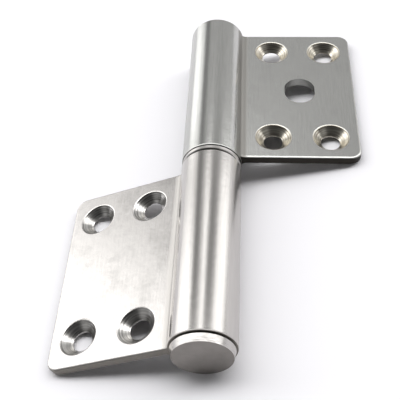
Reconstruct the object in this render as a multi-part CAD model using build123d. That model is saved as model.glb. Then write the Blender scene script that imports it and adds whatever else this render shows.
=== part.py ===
"""Lift-off flag hinge for a shutter or door, lying open with both leaves' outer edges down.

The barrels run along Y and the floor is at z = 0. The frame leaf with the pin is at -X and -Y,
the door leaf that lifts off is at +X and +Y. Each leaf is a plate welded to a turned barrel, and
the weld, ground to a hollow round, counts as part of the plate. Lengths are in millimetres.
"""

import os
from math import asin, atan2, degrees, hypot, sqrt

from build123d import *

# Barrels
BARREL_OD = 20.0
BARREL_LENGTH = 68.0
BARREL_CHAMFER_LENGTH = 0.3
BARREL_CHAMFER_DEPTH = 0.1

# Joint between the barrels: a boss on the frame leaf carries the washer
GROOVE_DEPTH = 1.75
BOSS_HEIGHT = 0.7
WASHER_SETBACK = 0.2
WASHER_THICKNESS = 1.6
WASHER_CHAMFER = 0.25
BOSS_PLAY = 0.1
DOOR_PLAY = 0.2

# Pin: shank pressed into the frame leaf's barrel, head at the near end
PIN_OD = 12.0
PIN_FREE_LENGTH = 50.0
PIN_NOSE_CHAMFER = 1.0
HEAD_SETBACK = 0.6
HEAD_THICKNESS = 2.6
HEAD_TAPER = 0.55
HEAD_REAR_CHAMFER = 0.3
NECK_LENGTH = 0.3
PIN_RUNNING_CLEARANCE = 0.05
WASHER_CLEARANCE = 0.1
BORE_END_ROOM = 4.0
BORE_LEAD_CHAMFER = 0.8

# Leaves: u runs out from the pin's axis, h up from the plane through it
LEAF_REACH = 50.2
LEAF_THICKNESS = 3.0
LEAF_FACE_HEIGHT = 2.5
FRAME_LEAF_INSET = 0.4
DOOR_LEAF_INSET = 1.2
LEAF_END_INSET = 0.4
LEAF_CORNER_RADIUS = 4.0
LEAF_BEVEL_WIDTH = 0.8
LEAF_BEVEL_DEPTH = 0.23
LEAF_BEVEL_BLEND = 2.0
LEAF_EDGE_RADIUS = 0.6
LEAF_BACK_CHAMFER = 0.4
ROOT_FILLET = 2.0
WELD_TOE = 0.05

# Screw holes, alike on both leaves, and the slot between the door leaf's
HOLE_JOINT_MARGIN = 11.2
HOLE_END_MARGIN = 10.2
HOLE_EDGE_MARGIN = 9.8
HOLE_ROW_SPACING = 19.6
SCREW_HOLE_OD = 6.6
COUNTERSINK_OD = 12.8
COUNTERSINK_DEPTH = 2.72
COUNTERSINK_BREAK_OD = 12.1
COUNTERSINK_BREAK_DEPTH = 0.12
SLOT_WIDTH = 10.8
SLOT_LENGTH = 13.0
SLOT_OFFSET = 1.1

BARREL_R = BARREL_OD / 2
BOSS_R = BARREL_R - GROOVE_DEPTH
HEAD_R = BARREL_R - HEAD_SETBACK
PIN_R = PIN_OD / 2
WASHER_STACK = BOSS_PLAY + WASHER_THICKNESS + DOOR_PLAY
JOINT_GAP = BOSS_HEIGHT + WASHER_STACK
LEAF_BACK_HEIGHT = LEAF_FACE_HEIGHT - LEAF_THICKNESS

# The origin is under the middle of the whole hinge, head included.
FRAME_END_Y = (NECK_LENGTH + HEAD_THICKNESS - JOINT_GAP) / 2
DOOR_END_Y = FRAME_END_Y + JOINT_GAP


def leaf_tilt():
    """Degrees by which an open leaf slopes down until its back's outer edge is on the floor."""
    out = LEAF_REACH - LEAF_BACK_CHAMFER
    return degrees(asin(BARREL_R / hypot(out, LEAF_BACK_HEIGHT)) + atan2(LEAF_BACK_HEIGHT, out))


def turned_about_y(points):
    """Solid of revolution about Y from its half outline, as radius and y pairs."""
    outline = Polyline([(r, y, 0) for r, y in points], close=True)
    return revolve(make_face(outline), axis=Axis.Y)


def weld_arc(face_height, side):
    """Hollow of the weld from a leaf face to its toe on the barrel, which it meets at a slight angle."""
    centre_h = face_height + side * ROOT_FILLET
    reach = BARREL_R + ROOT_FILLET - WELD_TOE
    centre = Vector(sqrt(reach ** 2 - centre_h ** 2), centre_h)
    along = (BARREL_R ** 2 - ROOT_FILLET ** 2 + reach ** 2) / (2 * reach)
    aside = sqrt(BARREL_R ** 2 - along ** 2)
    out = centre.normalized()
    on_leaf = Vector(centre.X, face_height)
    toe = out * along + Vector(out.Y, -out.X) * side * aside
    middle = centre + ((on_leaf + toe) / 2 - centre).normalized() * ROOT_FILLET
    return ThreePointArc(on_leaf, middle, toe)


def leaf_section():
    """Plate with its welds, cut across the pin's axis and fitted to the barrel, u right and h up."""
    top = weld_arc(LEAF_FACE_HEIGHT, 1)
    low = weld_arc(LEAF_BACK_HEIGHT, -1)
    seat = ThreePointArc(top @ 1, (BARREL_R, 0), low @ 1)
    outer_top = (LEAF_REACH, LEAF_FACE_HEIGHT)
    outer_low = (LEAF_REACH, LEAF_BACK_HEIGHT)
    rest = Polyline([low @ 0, outer_low, outer_top, top @ 0])
    return make_face([top, seat, low, rest])


def rim(plate, height):
    """The plate's outer edges at one height, clear of the barrel."""
    clear = BARREL_R + 2 * ROOT_FILLET
    level = plate.edges().filter_by_position(Axis.Z, height - 1e-6, height + 1e-6)
    return level.filter_by_position(Axis.X, clear, LEAF_REACH)


def leaf_plate(joint_inset):
    """Plate with rounded corners and softly bevelled edges, shorter than its barrel at each end."""
    length = BARREL_LENGTH - joint_inset - LEAF_END_INSET
    plate = extrude(Plane.XZ * leaf_section(), amount=length, dir=(0, 1, 0))
    corners = plate.edges().filter_by(Axis.Z).sort_by(Axis.X)[-2:]
    plate = fillet(corners, LEAF_CORNER_RADIUS)
    plate = chamfer(rim(plate, LEAF_BACK_HEIGHT), LEAF_BACK_CHAMFER)
    face = plate.faces().filter_by(Axis.Z).sort_by(Axis.Z)[-1]
    plate = chamfer(rim(plate, LEAF_FACE_HEIGHT), LEAF_BEVEL_WIDTH, LEAF_BEVEL_DEPTH, reference=face)
    plate = fillet(rim(plate, LEAF_FACE_HEIGHT - LEAF_BEVEL_DEPTH), LEAF_EDGE_RADIUS)
    plate = fillet(rim(plate, LEAF_FACE_HEIGHT), LEAF_BEVEL_BLEND)
    return Pos(0, joint_inset, 0) * plate


def barrel():
    """Solid barrel with both ends chamfered, its joint end at y = 0."""
    inner = BARREL_R - BARREL_CHAMFER_DEPTH
    near = BARREL_CHAMFER_LENGTH
    far = BARREL_LENGTH - BARREL_CHAMFER_LENGTH
    points = [(0, 0), (inner, 0), (BARREL_R, near), (BARREL_R, far), (inner, BARREL_LENGTH)]
    return turned_about_y(points + [(0, BARREL_LENGTH)])


def screw_cutter():
    """Countersink with its edge broken over the screw hole, the leaf's face at z = 0."""
    over = 1.0
    top = COUNTERSINK_OD / 2
    break_r = COUNTERSINK_BREAK_OD / 2
    hole = SCREW_HOLE_OD / 2
    flare = over * (top - break_r) / COUNTERSINK_BREAK_DEPTH
    points = [(0, over), (top + flare, over), (break_r, -COUNTERSINK_BREAK_DEPTH),
              (hole, -COUNTERSINK_DEPTH), (hole, -LEAF_THICKNESS - over), (0, -LEAF_THICKNESS - over)]
    outline = Polyline([(r, 0, z) for r, z in points], close=True)
    return revolve(make_face(outline), axis=Axis.Z)


def hole_rows():
    """Distances u of the outer and inner rows of holes from the pin's axis."""
    outer = LEAF_REACH - HOLE_EDGE_MARGIN
    return outer, outer - HOLE_ROW_SPACING


def hole_ends():
    """Places y of each row's two holes, from the joint end of the leaf's own barrel."""
    return HOLE_JOINT_MARGIN, BARREL_LENGTH - LEAF_END_INSET - HOLE_END_MARGIN


def drilled_plate(joint_inset):
    """Plate with its four countersunk screw holes."""
    cutter = screw_cutter()
    plate = leaf_plate(joint_inset)
    for u in hole_rows():
        for y in hole_ends():
            plate -= Pos(u, y, LEAF_FACE_HEIGHT) * cutter
    return plate


def middle_slot():
    """Cutter for the short slot between the four screw holes, a little off their middle."""
    u = sum(hole_rows()) / 2
    y = sum(hole_ends()) / 2 + SLOT_OFFSET
    outline = SlotOverall(SLOT_LENGTH, SLOT_WIDTH, rotation=90)
    return Pos(u, y, LEAF_FACE_HEIGHT + 1) * extrude(outline, amount=-LEAF_THICKNESS - 2)


def blind_bore():
    """Cutter for the door leaf's bore: chamfered mouth, then drilled past the pin's nose."""
    r = PIN_R + PIN_RUNNING_CLEARANCE
    depth = PIN_FREE_LENGTH - WASHER_STACK + BORE_END_ROOM
    over = 1.0
    cone = BORE_LEAD_CHAMFER + over
    bore = Rot(-90, 0, 0) * Cylinder(r, depth, align=(Align.CENTER, Align.CENTER, Align.MIN))
    mouth = turned_about_y([(0, -over), (r + cone, -over), (r, BORE_LEAD_CHAMFER), (0, BORE_LEAD_CHAMFER)])
    return bore + mouth


def on_door_side(piece):
    """Put a piece drawn in a leaf's own frame where the door leaf lies."""
    return Pos(0, DOOR_END_Y, BARREL_R) * Rot(0, leaf_tilt(), 0) * piece


def on_frame_side(piece):
    """Put a piece drawn in a leaf's own frame where the frame leaf lies."""
    return Pos(0, FRAME_END_Y, BARREL_R) * Rot(0, -leaf_tilt(), 0) * Rot(0, 0, 180) * piece


def door_plate():
    """Plate of the leaf that lifts off, with the slot in the middle."""
    return on_door_side(drilled_plate(DOOR_LEAF_INSET) - middle_slot())


def door_barrel():
    """Barrel that lifts off the pin, bored from the joint."""
    return on_door_side(barrel() - blind_bore())


def frame_plate():
    """Plate of the leaf that holds the pin."""
    return on_frame_side(drilled_plate(FRAME_LEAF_INSET))


def frame_barrel():
    """Barrel that the pin is pressed into, with the boss that carries the washer."""
    boss = turned_about_y([(0, -BOSS_HEIGHT), (BOSS_R, -BOSS_HEIGHT), (BOSS_R, 1), (0, 1)])
    bore = Pos(0, BARREL_LENGTH / 2, 0) * Rot(90, 0, 0) * Cylinder(PIN_R, 2 * BARREL_LENGTH)
    return on_frame_side(barrel() + boss - bore)


def hinge_pin():
    """Head with a tapered side, neck and shank turned in one piece, the head towards -Y."""
    nose = BOSS_HEIGHT + PIN_FREE_LENGTH
    neck = -BARREL_LENGTH - NECK_LENGTH
    face = neck - HEAD_THICKNESS
    points = [(0, nose), (PIN_R - PIN_NOSE_CHAMFER, nose), (PIN_R, nose - PIN_NOSE_CHAMFER),
              (PIN_R, -BARREL_LENGTH), (BOSS_R, -BARREL_LENGTH), (BOSS_R, neck),
              (HEAD_R - HEAD_REAR_CHAMFER, neck), (HEAD_R, neck - HEAD_REAR_CHAMFER),
              (HEAD_R - HEAD_TAPER, face), (0, face)]
    return Pos(0, FRAME_END_Y, BARREL_R) * turned_about_y(points)


def thrust_washer():
    """Flat ring between the frame barrel's boss and the door barrel's end."""
    outer = BARREL_R - WASHER_SETBACK
    inner = PIN_R + WASHER_CLEARANCE
    c = WASHER_CHAMFER
    t = WASHER_THICKNESS
    points = [(inner, 0), (outer - c, 0), (outer, c), (outer, t - c), (outer - c, t), (inner, t)]
    return Pos(0, FRAME_END_Y + BOSS_HEIGHT + BOSS_PLAY, BARREL_R) * turned_about_y(points)


if __name__ == "__main__":
    os.makedirs("parts", exist_ok=True)
    export_step(frame_barrel(), "parts/frame_barrel.step")
    export_step(frame_plate(), "parts/frame_plate.step")
    export_step(door_barrel(), "parts/door_barrel.step")
    export_step(door_plate(), "parts/door_plate.step")
    export_step(hinge_pin(), "parts/hinge_pin.step")
    export_step(thrust_washer(), "parts/thrust_washer.step")
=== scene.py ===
"""Lift-off flag hinge in satin stainless steel, lying open on a pale table in a light tent.

Lengths are in metres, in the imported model's frame: the barrels run along Y, the floor is z = 0,
the frame leaf with the pin is at -X and -Y, and the door leaf that lifts off is at +X and +Y.
"""

from math import pi, radians

import bpy
from mathutils import Matrix

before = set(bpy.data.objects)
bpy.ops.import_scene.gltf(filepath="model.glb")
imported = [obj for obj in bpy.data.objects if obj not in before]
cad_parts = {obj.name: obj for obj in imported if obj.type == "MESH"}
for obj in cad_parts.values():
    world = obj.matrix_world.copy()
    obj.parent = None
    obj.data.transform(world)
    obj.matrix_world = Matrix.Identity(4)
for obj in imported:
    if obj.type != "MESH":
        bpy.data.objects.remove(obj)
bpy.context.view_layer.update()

MM = 0.001

# Sizes of the real hinge that the finishes are laid out by; the weld line is u and h across the leaf
BARREL_R = 10 * MM
LEAF_TILT = radians(11.008)
FRAME_BARREL_END = 0.15 * MM
DOOR_BARREL_END = 2.75 * MM
HOLE_ROW_MIDDLE = 30.6 * MM
HOLE_ROW_SPACING = 19.6 * MM
HOLE_PAIR_MIDDLE = 34.3 * MM
HOLE_PAIR_SPACING = 46.2 * MM
COUNTERSINK_R = 6.4 * MM
WELD_LINE = (9.8 * MM, 4.0 * MM, 0)
RIM_START = 46 * MM


def linear(hex_code):
    """Linear RGBA of an sRGB hex colour such as "C8C6C2"."""
    parts = [int(hex_code[i:i + 2], 16) / 255 for i in (0, 2, 4)]
    light = [c / 12.92 if c <= 0.04045 else ((c + 0.055) / 1.055) ** 2.4 for c in parts]
    return (*light, 1.0)


def add(tree, kind, settings=None, values=None, links=None):
    """Add a node, set its properties and socket values, and link sockets into it."""
    node = tree.nodes.new(kind)
    for name, value in (settings or {}).items():
        setattr(node, name, value)
    for name, value in (values or {}).items():
        node.inputs[name].default_value = value
    for name, socket in (links or {}).items():
        tree.links.new(socket, node.inputs[name])
    return node


def new_material(name):
    """Material with an empty node tree but for its output, as material, tree and output."""
    material = bpy.data.materials.new(name)
    material.use_nodes = True
    tree = material.node_tree
    tree.nodes.clear()
    return material, tree, tree.nodes.new("ShaderNodeOutputMaterial")


def leaf_space(tree, side):
    """Coordinates laid on a leaf: x out from the pin, y from the barrel's joint end, z up."""
    end = DOOR_BARREL_END if side > 0 else FRAME_BARREL_END
    place = add(tree, "ShaderNodeTexCoord")
    moved = add(tree, "ShaderNodeVectorMath", {"operation": "SUBTRACT"}, {1: (0, end, BARREL_R)},
                {0: place.outputs["Object"]})
    level = add(tree, "ShaderNodeVectorRotate", {"rotation_type": "Y_AXIS"},
                {"Angle": -side * LEAF_TILT}, {"Vector": moved.outputs["Vector"]})
    turned = add(tree, "ShaderNodeVectorMath", {"operation": "MULTIPLY"}, {1: (side, side, 1)},
                 {0: level.outputs["Vector"]})
    return turned.outputs["Vector"]


def satin_stainless(name, side, dull, haze, tones, weld_and_crease_shade_tone, sink_tones, edge_and_shade_tones):
    """Stainless steel leaf welded to its barrel: satin ground plate, polished barrel, raw cut edges.

    Gives the eye broad soft mirror bands on the barrel, whose least roughness is dull, a milkier
    sheen with straight grain and clouds of haze on the plate, a dull strip at its root in the weld's tone
    darkened with painted shade of the crease, ringed countersinks between the two sink tones and dull
    edges darkened with painted shade.
    """
    material, tree, output = new_material(name)
    on_leaf = leaf_space(tree, side)
    parts = add(tree, "ShaderNodeSeparateXYZ", links={"Vector": on_leaf})

    # where the steel is plate, and where it is the barrel or the weld between them
    across = add(tree, "ShaderNodeCombineXYZ", links={"X": parts.outputs["X"], "Y": parts.outputs["Z"]})
    off_pin = add(tree, "ShaderNodeVectorMath", {"operation": "LENGTH"}, links={0: across.outputs[0]})
    off_barrel = add(tree, "ShaderNodeMapRange",
                     values={"From Min": BARREL_R, "From Max": BARREL_R + 0.4 * MM},
                     links={"Value": off_pin.outputs["Value"]}).outputs["Result"]
    from_weld = add(tree, "ShaderNodeVectorMath", {"operation": "DISTANCE"}, {1: WELD_LINE},
                    {0: across.outputs[0]})
    root = add(tree, "ShaderNodeMapRange", {"interpolation_type": "SMOOTHSTEP"},
               {"From Min": 1.8 * MM, "From Max": 2.9 * MM, "To Min": 1, "To Max": 0},
               {"Value": from_weld.outputs["Value"]}).outputs["Result"]

    # cut edges: the barrel's ends and the plate's outer rim, whose rounding is dull before it is dark; their
    # dark tone is painted shade over a duller sawn finish
    place = add(tree, "ShaderNodeTexCoord")
    facing = add(tree, "ShaderNodeVectorRotate", {"rotation_type": "Y_AXIS"},
                 {"Angle": -side * LEAF_TILT}, {"Vector": place.outputs["Normal"]})
    face = add(tree, "ShaderNodeVectorMath", {"operation": "ABSOLUTE"}, links={0: facing.outputs["Vector"]})
    turn = add(tree, "ShaderNodeSeparateXYZ", links={"Vector": face.outputs["Vector"]})
    end_on = add(tree, "ShaderNodeMapRange", {"interpolation_type": "SMOOTHSTEP"},
                 {"From Min": 0.3, "From Max": 0.95}, {"Value": turn.outputs["Y"]})
    rounding = add(tree, "ShaderNodeMapRange", {"interpolation_type": "SMOOTHSTEP"},
                   {"From Min": 0.05, "From Max": 0.35}, {"Value": turn.outputs["Y"]})
    upright = add(tree, "ShaderNodeMath", {"operation": "LESS_THAN"}, {1: 0.35}, {0: turn.outputs["Z"]})
    outermost = add(tree, "ShaderNodeMath", {"operation": "GREATER_THAN"}, {1: RIM_START},
                    {0: parts.outputs["X"]})
    rim = add(tree, "ShaderNodeMath", {"operation": "MULTIPLY"},
              links={0: upright.outputs[0], 1: outermost.outputs[0]})
    edges = add(tree, "ShaderNodeMath", {"operation": "MAXIMUM"},
                links={0: end_on.outputs[0], 1: rim.outputs[0]})
    mid_way = add(tree, "ShaderNodeMath", {"operation": "COMPARE"}, {1: HOLE_PAIR_MIDDLE, 2: 20 * MM},
                  {0: parts.outputs["Y"]})
    walls = add(tree, "ShaderNodeMath", {"operation": "MULTIPLY"},
                links={0: mid_way.outputs[0], 1: end_on.outputs[0]})
    bare = add(tree, "ShaderNodeMath", {"operation": "SUBTRACT"},
               links={0: edges.outputs[0], 1: walls.outputs[0]})

    # distance from the nearest screw hole's axis: the four holes lie mirrored about their middle
    folds = []
    for socket, middle, spacing in (("X", HOLE_ROW_MIDDLE, HOLE_ROW_SPACING),
                                    ("Y", HOLE_PAIR_MIDDLE, HOLE_PAIR_SPACING)):
        off = add(tree, "ShaderNodeMath", {"operation": "SUBTRACT"}, {1: middle}, {0: parts.outputs[socket]})
        side_less = add(tree, "ShaderNodeMath", {"operation": "ABSOLUTE"}, links={0: off.outputs[0]})
        fold = add(tree, "ShaderNodeMath", {"operation": "SUBTRACT"}, {1: spacing / 2},
                   {0: side_less.outputs[0]})
        folds.append(fold.outputs[0])
    flat = add(tree, "ShaderNodeCombineXYZ", links={"X": folds[0], "Y": folds[1]})
    from_axis = add(tree, "ShaderNodeVectorMath", {"operation": "LENGTH"}, links={0: flat.outputs[0]})
    in_sink = add(tree, "ShaderNodeMapRange",
                  values={"From Min": COUNTERSINK_R - 0.25 * MM, "From Max": COUNTERSINK_R - 0.1 * MM,
                          "To Min": 1, "To Max": 0},
                  links={"Value": from_axis.outputs["Value"]}).outputs["Result"]
    off_sink = add(tree, "ShaderNodeMath", {"operation": "SUBTRACT"}, {0: 1}, {1: in_sink})
    cut = add(tree, "ShaderNodeMath", {"operation": "MULTIPLY"},
              links={0: bare.outputs[0], 1: off_sink.outputs[0]}).outputs[0]

    # tool rings of uneven depth, about 0.2 mm apart on the real cone and drawn at 0.3 mm to show
    ring_step = add(tree, "ShaderNodeMath", {"operation": "MULTIPLY"}, {1: 1 / (0.3 * MM)},
                    {0: from_axis.outputs["Value"]})
    round_hole = add(tree, "ShaderNodeVectorMath", {"operation": "SCALE"}, {"Scale": 1 / (9 * MM)},
                     {0: flat.outputs[0]})
    ring_space = add(tree, "ShaderNodeSeparateXYZ", links={"Vector": round_hole.outputs[0]})
    along_ring = add(tree, "ShaderNodeCombineXYZ",
                     links={"X": ring_step.outputs[0], "Y": ring_space.outputs["X"],
                            "Z": ring_space.outputs["Y"]})
    rings = add(tree, "ShaderNodeTexNoise", values={"Scale": 1.0, "Detail": 1.0},
                links={"Vector": along_ring.outputs[0]}).outputs[0]
    ring_height = add(tree, "ShaderNodeMath", {"operation": "MULTIPLY"}, links={0: rings, 1: in_sink})

    # grain along the leaf, 0.2 mm apart on the real steel and drawn at 0.5 mm
    stretched = add(tree, "ShaderNodeVectorMath", {"operation": "MULTIPLY"},
                    {1: (1 / (0.5 * MM), 1 / (9 * MM), 1 / (0.5 * MM))}, {0: on_leaf})
    grain = add(tree, "ShaderNodeTexNoise", values={"Scale": 1.0, "Detail": 3.0, "Roughness": 0.6},
                links={"Vector": stretched.outputs["Vector"]})
    # waviness left by the polishing mop, a few millimetres long
    waves = add(tree, "ShaderNodeTexNoise", values={"Scale": 1 / (3 * MM), "Detail": 4.0, "Roughness": 0.6},
                links={"Vector": on_leaf})

    # haze where the mop has rubbed less, in clouds about a centimetre across
    mist = add(tree, "ShaderNodeTexNoise", values={"Scale": 1 / (9 * MM), "Detail": 6.0, "Roughness": 0.62},
               links={"Vector": on_leaf})
    misty = add(tree, "ShaderNodeMapRange",
                values={"From Min": 0.46, "From Max": 0.72, "To Max": haze}, links={"Value": mist.outputs[0]})
    hazy = add(tree, "ShaderNodeMath", {"operation": "MULTIPLY"},
               links={0: misty.outputs["Result"], 1: off_barrel})

    wavy = add(tree, "ShaderNodeBump", values={"Strength": 0.16, "Distance": 0.2 * MM},
               links={"Height": waves.outputs[0]})
    grained = add(tree, "ShaderNodeBump", values={"Strength": 0.18, "Distance": 0.03 * MM},
                  links={"Height": grain.outputs[0], "Normal": wavy.outputs["Normal"]})
    ringed = add(tree, "ShaderNodeBump", values={"Strength": 0.5, "Distance": 0.06 * MM},
                 links={"Height": ring_height.outputs[0], "Normal": grained.outputs["Normal"]})

    # colour of each zone, the later ones over the earlier
    tone = add(tree, "ShaderNodeMix", {"data_type": "RGBA"},
               {"A": linear(tones[0]), "B": linear(tones[1])}, {"Factor": grain.outputs[0]})
    clouded = add(tree, "ShaderNodeMix", {"data_type": "RGBA"}, {"B": linear("8C8A87")},
                  {"Factor": hazy.outputs[0], "A": tone.outputs["Result"]})
    chatter = add(tree, "ShaderNodeMapRange", values={"From Min": 0.32, "From Max": 0.68},
                  links={"Value": rings})
    ringed_tone = add(tree, "ShaderNodeMix", {"data_type": "RGBA"},
                      {"A": linear(sink_tones[0]), "B": linear(sink_tones[1])},
                      {"Factor": chatter.outputs["Result"]})
    sunk = add(tree, "ShaderNodeMix", {"data_type": "RGBA"},
               links={"Factor": in_sink, "A": clouded.outputs["Result"], "B": ringed_tone.outputs["Result"]})
    # the root strip's colour is the weld's tone darkened with painted shade of the crease, far darker on the
    # door leaf than on the frame leaf
    root_and_crease_shade = add(tree, "ShaderNodeMix", {"data_type": "RGBA"}, {"B": linear(weld_and_crease_shade_tone)},
                       {"Factor": root, "A": sunk.outputs["Result"]})
    # the cut edges' dark tone is painted shade over their duller sawn finish, near black on the door leaf
    sawn_and_shaded = add(tree, "ShaderNodeMix", {"data_type": "RGBA"},
               {"A": linear(edge_and_shade_tones[0]), "B": linear(edge_and_shade_tones[1])}, {"Factor": grain.outputs[0]})
    colour = add(tree, "ShaderNodeMix", {"data_type": "RGBA"},
                 links={"Factor": cut, "A": root_and_crease_shade.outputs["Result"], "B": sawn_and_shaded.outputs["Result"]})

    # roughness of each zone in the same order
    on_barrel = add(tree, "ShaderNodeMapRange", values={"To Min": dull, "To Max": dull + 0.05},
                    links={"Value": grain.outputs[0]})
    # the mop reaches less far round the barrel's flanks
    flank = add(tree, "ShaderNodeMapRange", {"interpolation_type": "SMOOTHSTEP"},
                {"From Min": 6.2 * MM, "From Max": 3.6 * MM}, {"Value": parts.outputs["Z"]})
    round_barrel = add(tree, "ShaderNodeMix", values={"B": 0.30},
                       links={"Factor": flank.outputs["Result"], "A": on_barrel.outputs["Result"]})
    on_plate = add(tree, "ShaderNodeMapRange", values={"To Min": 0.18, "To Max": 0.27},
                   links={"Value": grain.outputs[0]})
    ground = add(tree, "ShaderNodeMix", links={"Factor": off_barrel, "A": round_barrel.outputs["Result"],
                                               "B": on_plate.outputs["Result"]})
    dressed = add(tree, "ShaderNodeMix", values={"B": 0.5},
                  links={"Factor": root, "A": ground.outputs["Result"]})
    cone = add(tree, "ShaderNodeMix", values={"B": 0.28},
               links={"Factor": in_sink, "A": dressed.outputs["Result"]})
    on_face = add(tree, "ShaderNodeMath", {"operation": "MULTIPLY"},
                  links={0: rounding.outputs["Result"], 1: off_sink.outputs[0]})
    worn = add(tree, "ShaderNodeMath", {"operation": "MAXIMUM"}, links={0: on_face.outputs[0], 1: cut})
    sheen = add(tree, "ShaderNodeMix", values={"B": 0.45},
                links={"Factor": worn.outputs[0], "A": cone.outputs["Result"]})

    steel = add(tree, "ShaderNodeBsdfPrincipled", values={"Metallic": 1.0},
                links={"Base Color": colour.outputs["Result"], "Roughness": sheen.outputs["Result"],
                       "Normal": ringed.outputs["Normal"]})
    tree.links.new(steel.outputs["BSDF"], output.inputs["Surface"])
    return material


def turned_stainless(name, middle_y, dull):
    """Stainless steel bar turned on a lathe: bright, with fine rings round the pin's axis.

    Its faced ends are duller than its round side and darker with painted shade; dull is the side's least
    roughness.
    """
    material, tree, output = new_material(name)
    place = add(tree, "ShaderNodeTexCoord")
    parts = add(tree, "ShaderNodeVectorMath", {"operation": "SUBTRACT"}, {1: (0, middle_y, BARREL_R)},
                {0: place.outputs["Object"]})
    xyz = add(tree, "ShaderNodeSeparateXYZ", links={"Vector": parts.outputs["Vector"]})
    across = add(tree, "ShaderNodeCombineXYZ", links={"X": xyz.outputs["X"], "Z": xyz.outputs["Z"]})
    radius = add(tree, "ShaderNodeVectorMath", {"operation": "LENGTH"}, links={0: across.outputs[0]})
    facing = add(tree, "ShaderNodeVectorMath", {"operation": "ABSOLUTE"}, links={0: place.outputs["Normal"]})
    turn = add(tree, "ShaderNodeSeparateXYZ", links={"Vector": facing.outputs["Vector"]})
    end_on = add(tree, "ShaderNodeMath", {"operation": "GREATER_THAN"}, {1: 0.85},
                 {0: turn.outputs["Y"]}).outputs[0]

    # feed marks of the lathe tool, 0.15 mm apart and drawn at 0.35 mm
    ring_space = add(tree, "ShaderNodeCombineXYZ",
                     links={"X": radius.outputs["Value"], "Y": xyz.outputs["Y"]})
    feed = add(tree, "ShaderNodeVectorMath", {"operation": "SCALE"}, {"Scale": 1 / (0.35 * MM)},
               {0: ring_space.outputs[0]})
    marks = add(tree, "ShaderNodeTexNoise", values={"Scale": 1.0, "Detail": 2.0},
                links={"Vector": feed.outputs["Vector"]})
    turned = add(tree, "ShaderNodeBump", values={"Strength": 0.15, "Distance": 0.03 * MM},
                 links={"Height": marks.outputs[0]})
    cloud = add(tree, "ShaderNodeTexNoise", values={"Scale": 1 / (4 * MM), "Detail": 3.0},
                links={"Vector": parts.outputs["Vector"]})
    uneven = add(tree, "ShaderNodeBump", values={"Strength": 0.3, "Distance": 0.5 * MM},
                 links={"Height": cloud.outputs[0], "Normal": turned.outputs["Normal"]})

    round_side = add(tree, "ShaderNodeMix", {"data_type": "RGBA"},
                     {"A": linear("C3C0BD"), "B": linear("B6B3B0")}, {"Factor": cloud.outputs[0]})
    # the faced ends' darker colour is painted shade on the same turned steel
    faced = add(tree, "ShaderNodeMix", {"data_type": "RGBA"},
                {"A": linear("8F8B87"), "B": linear("76726E")}, {"Factor": cloud.outputs[0]})
    colour = add(tree, "ShaderNodeMix", {"data_type": "RGBA"},
                 links={"Factor": end_on, "A": round_side.outputs["Result"], "B": faced.outputs["Result"]})
    bright = add(tree, "ShaderNodeMapRange", values={"To Min": dull, "To Max": dull + 0.08},
                 links={"Value": marks.outputs[0]})
    sheen = add(tree, "ShaderNodeMix", values={"B": 0.38},
                links={"Factor": end_on, "A": bright.outputs["Result"]})
    steel = add(tree, "ShaderNodeBsdfPrincipled", values={"Metallic": 1.0},
                links={"Base Color": colour.outputs["Result"], "Roughness": sheen.outputs["Result"],
                       "Normal": uneven.outputs["Normal"]})
    tree.links.new(steel.outputs["BSDF"], output.inputs["Surface"])
    return material


def finish_node(node, material):
    """Give a CAD node its finish in every slot."""
    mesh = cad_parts[node].data
    mesh.materials.clear()
    mesh.materials.append(material)


def pale_table():
    """Matt white laminate table in one plain tone."""
    bpy.ops.mesh.primitive_plane_add(size=6.0, location=(0, 0, 0))
    table = bpy.context.active_object
    table.name = "table"
    material, tree, output = new_material("matt_white_laminate")
    matt = add(tree, "ShaderNodeBsdfDiffuse", values={"Color": linear("F5F4F7"), "Roughness": 0.0})
    tree.links.new(matt.outputs[0], output.inputs["Surface"])
    table.data.materials.append(material)


# The tent's cloth as the hinge sees it, by degrees from straight up, - to the left: how bright each
# long panel along Y is, with the darker seams between them. Chosen render after render.
TENT_PANELS = [(-180, 0.9), (-97, 1.1), (-85, 1.45), (-70, 1.7), (-59, 1.9), (-52, 1.75), (-46, 1.35),
               (-40, 1.25),
               (-35, 0.62), (-30, 0.32), (-24, 0.31), (-17, 0.50), (-8, 1.15), (1, 1.95), (7, 1.85),
               (14, 0.80), (20, 0.37), (29, 0.37), (38, 0.65), (47, 1.5), (55, 2.1), (80, 2.2),
               (90, 1.5), (100, 0.5), (180, 0.5)]
# How the left panel dims from straight across (0) towards the back corner and lightens past it
LEFT_PANEL = [(0.0, 1.6), (0.55, 1.6), (0.59, 1.25), (0.63, 1.02), (0.67, 0.78), (0.705, 0.58),
              (0.713, 1.40), (0.80, 1.15), (0.85, 0.5), (0.90, 0.12), (1.0, 0.1)]
BACK_CLOTH = 0.60
# The bright roof in front of them, by the same degrees: its back edge, and its heart overhead
ROOF_EDGE = [(-180, 1.0), (-90, 2.4), (-70, 3.0), (-50, 2.9), (-20, 2.5), (0, 2.3), (20, 2.0), (60, 1.8),
             (80, 1.5), (180, 1.0)]
ROOF_HEART = [(-180, 1.5), (-90, 2.5), (-60, 3.2), (-20, 4.7), (20, 5.0), (60, 4.0), (90, 2.6), (180, 1.5)]
# The open front: straight ahead, and at its two sides, which light the hinge for a view from behind
FRONT_SHADE = 0.05
FRONT_SIDES = 0.38


def set_ramp(node, stops):
    """Set a colour ramp's stops from pairs of place (0 to 1) and brightness."""
    ramp = node.color_ramp
    while len(ramp.elements) < len(stops):
        ramp.elements.new(0.5)
    for stop, (place, bright) in zip(ramp.elements, stops):
        stop.position = place
        stop.color = (bright, bright, bright, 1)


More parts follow.
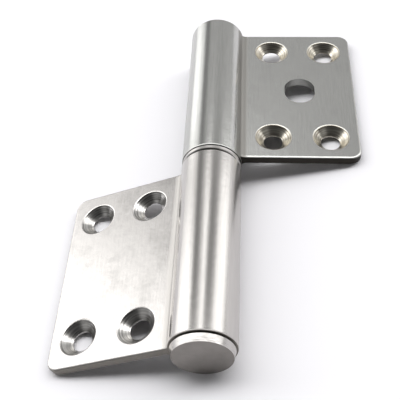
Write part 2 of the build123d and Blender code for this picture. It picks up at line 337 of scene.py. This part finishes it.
def light_tent():
    """World light: a tent of panels that the steel shows, dark towards -Y; the camera sees white."""
    world = bpy.data.worlds.new("light_tent")
    bpy.context.scene.world = world
    world.use_nodes = True
    tree = world.node_tree
    tree.nodes.clear()
    output = tree.nodes.new("ShaderNodeOutputWorld")
    way = add(tree, "ShaderNodeTexCoord")
    xyz = add(tree, "ShaderNodeSeparateXYZ", links={"Vector": way.outputs["Generated"]})
    back = xyz.outputs["Y"]
    lean = add(tree, "ShaderNodeMath", {"operation": "ARCTAN2"},
               links={0: xyz.outputs["X"], 1: xyz.outputs["Z"]}).outputs[0]
    off_top = add(tree, "ShaderNodeMath", {"operation": "ABSOLUTE"}, links={0: lean}).outputs[0]
    smooth = {"interpolation_type": "SMOOTHSTEP"}

    # the long panels, which spread apart towards the front
    spread = add(tree, "ShaderNodeMapRange",
                 values={"From Min": 0.50, "From Max": 0.72, "To Min": 1.19, "To Max": 0.83},
                 links={"Value": back})
    fanned = add(tree, "ShaderNodeMath", {"operation": "MULTIPLY"},
                 links={0: lean, 1: spread.outputs["Result"]})
    along = add(tree, "ShaderNodeMapRange", values={"From Min": -pi, "From Max": pi},
                links={"Value": fanned.outputs[0]})
    panels = add(tree, "ShaderNodeValToRGB", links={"Fac": along.outputs["Result"]})
    set_ramp(panels, [((angle + 180) / 360, bright) for angle, bright in TENT_PANELS])

    dimmed = add(tree, "ShaderNodeValToRGB", links={"Fac": back})
    set_ramp(dimmed, LEFT_PANEL)
    left = add(tree, "ShaderNodeMapRange", smooth,
               {"From Min": radians(-40), "From Max": radians(-33), "To Min": 1, "To Max": 0},
               {"Value": lean})
    side = add(tree, "ShaderNodeMix", {"data_type": "RGBA", "blend_type": "MULTIPLY"},
               links={"Factor": left.outputs["Result"], "A": panels.outputs["Color"],
                      "B": dimmed.outputs["Color"]})

    # the back cloth, right of the corner
    behind = add(tree, "ShaderNodeMapRange", smooth, {"From Min": 0.694, "From Max": 0.706}, {"Value": back})
    right = add(tree, "ShaderNodeMapRange", smooth,
                {"From Min": radians(-22), "From Max": radians(-12)}, {"Value": lean})
    at_back = add(tree, "ShaderNodeMath", {"operation": "MULTIPLY"},
                  links={0: behind.outputs["Result"], 1: right.outputs["Result"]})
    cloth = add(tree, "ShaderNodeMix", {"data_type": "RGBA"}, {"B": (BACK_CLOTH, BACK_CLOTH, BACK_CLOTH, 1)},
                {"Factor": at_back.outputs[0], "A": side.outputs["Result"]})

    # the bright window in the roof, a little behind straight up
    overhead = add(tree, "ShaderNodeMapRange", smooth,
                   {"From Min": 0.42, "From Max": 0.53, "To Min": 1, "To Max": 0}, {"Value": back})
    within = add(tree, "ShaderNodeMapRange", smooth,
                 {"From Min": radians(70), "From Max": radians(85), "To Min": 1, "To Max": 0},
                 {"Value": off_top})
    window = add(tree, "ShaderNodeMath", {"operation": "MULTIPLY"},
                 links={0: overhead.outputs["Result"], 1: within.outputs["Result"]})
    straight = add(tree, "ShaderNodeMapRange", values={"From Min": -pi, "From Max": pi},
                   links={"Value": lean})
    roof_edge = add(tree, "ShaderNodeValToRGB", links={"Fac": straight.outputs["Result"]})
    set_ramp(roof_edge, [((angle + 180) / 360, bright) for angle, bright in ROOF_EDGE])
    roof_heart = add(tree, "ShaderNodeValToRGB", links={"Fac": straight.outputs["Result"]})
    set_ramp(roof_heart, [((angle + 180) / 360, bright) for angle, bright in ROOF_HEART])
    further = add(tree, "ShaderNodeMapRange", smooth, {"From Min": 0.36, "From Max": 0.46}, {"Value": back})
    roof = add(tree, "ShaderNodeMix", {"data_type": "RGBA"},
               links={"Factor": further.outputs["Result"], "A": roof_heart.outputs["Color"],
                      "B": roof_edge.outputs["Color"]})
    roofed = add(tree, "ShaderNodeMix", {"data_type": "RGBA"},
                 links={"Factor": window.outputs[0], "A": cloth.outputs["Result"],
                        "B": roof.outputs["Result"]})

    # the open front, dark but for what its two sides give back
    aside = add(tree, "ShaderNodeMapRange", smooth,
                {"From Min": radians(38), "From Max": radians(58)}, {"Value": off_top})
    ahead = add(tree, "ShaderNodeMapRange", smooth,
                {"From Min": -0.35, "From Max": -0.10, "To Min": 1, "To Max": 0}, {"Value": back})
    wings = add(tree, "ShaderNodeMath", {"operation": "MULTIPLY"},
                links={0: aside.outputs["Result"], 1: ahead.outputs["Result"]})
    front = add(tree, "ShaderNodeMapRange", values={"To Min": FRONT_SHADE, "To Max": FRONT_SIDES},
                links={"Value": wings.outputs[0]})
    closed = add(tree, "ShaderNodeMapRange", smooth, {"From Min": 0.0, "From Max": 0.20}, {"Value": back})
    whole = add(tree, "ShaderNodeMix", {"data_type": "RGBA"},
                links={"Factor": closed.outputs["Result"], "A": front.outputs["Result"],
                       "B": roofed.outputs["Result"]})

    tent = add(tree, "ShaderNodeBackground", values={"Strength": 1.0},
               links={"Color": whole.outputs["Result"]})
    white = add(tree, "ShaderNodeBackground", values={"Color": linear("FFFFFF"), "Strength": 1.0})
    ray = add(tree, "ShaderNodeLightPath")
    seen = add(tree, "ShaderNodeMixShader",
               links={0: ray.outputs["Is Camera Ray"], 1: tent.outputs[0], 2: white.outputs[0]})
    tree.links.new(seen.outputs[0], output.inputs["Surface"])


# Camera fitted to the photograph: where it stands in metres, its angles in degrees and its focal
# length in pixels of a picture as wide as PICTURE_WIDTH
CAMERA_PLACE = (0.04606, -0.17901, 0.19349)
CAMERA_HEADING = -16.53
CAMERA_DIP = 46.57
CAMERA_ROLL = -18.80
FOCAL_PIXELS = 778.71
PICTURE_WIDTH = 400
SENSOR_WIDTH = 36


def camera_at(place, heading, dip, roll, lens):
    """Camera at a place, turned by a compass heading from +Y, a dip below level and a roll."""
    data = bpy.data.cameras.new("camera")
    data.lens = lens
    data.sensor_width = SENSOR_WIDTH
    camera = bpy.data.objects.new("camera", data)
    bpy.context.scene.collection.objects.link(camera)
    aim = Matrix.Rotation(-radians(heading), 4, "Z") @ Matrix.Rotation(radians(90 - dip), 4, "X")
    camera.matrix_world = Matrix.Translation(place) @ aim @ Matrix.Rotation(radians(roll), 4, "Z")
    bpy.context.scene.camera = camera


# the door leaf's weld tone and edge tones are darker than the frame leaf's with painted shade
frame_steel = satin_stainless("satin_stainless_frame_leaf", -1, 0.14, 0.40, ("C6C3C0", "B4B1AE"),
                              "B7B4B0", ("8F8D8A", "D9D7D4"), ("8B8781", "6F6B65"))
door_steel = satin_stainless("satin_stainless_door_leaf", 1, 0.16, 0.12, ("C3C3C0", "ABABA8"),
                             "8B8985", ("8A8377", "CECABF"), ("3A3733", "24221F"))
finish_node("frame_barrel", frame_steel)
finish_node("frame_plate", frame_steel)
finish_node("door_barrel", door_steel)
finish_node("door_plate", door_steel)
finish_node("hinge_pin", turned_stainless("turned_stainless_pin", -69 * MM, 0.24))
finish_node("thrust_washer", turned_stainless("turned_stainless_washer", 2 * MM, 0.24))

pale_table()
light_tent()
camera_at(CAMERA_PLACE, CAMERA_HEADING, CAMERA_DIP, CAMERA_ROLL, SENSOR_WIDTH * FOCAL_PIXELS / PICTURE_WIDTH)

bpy.context.scene.view_settings.view_transform = "Standard"
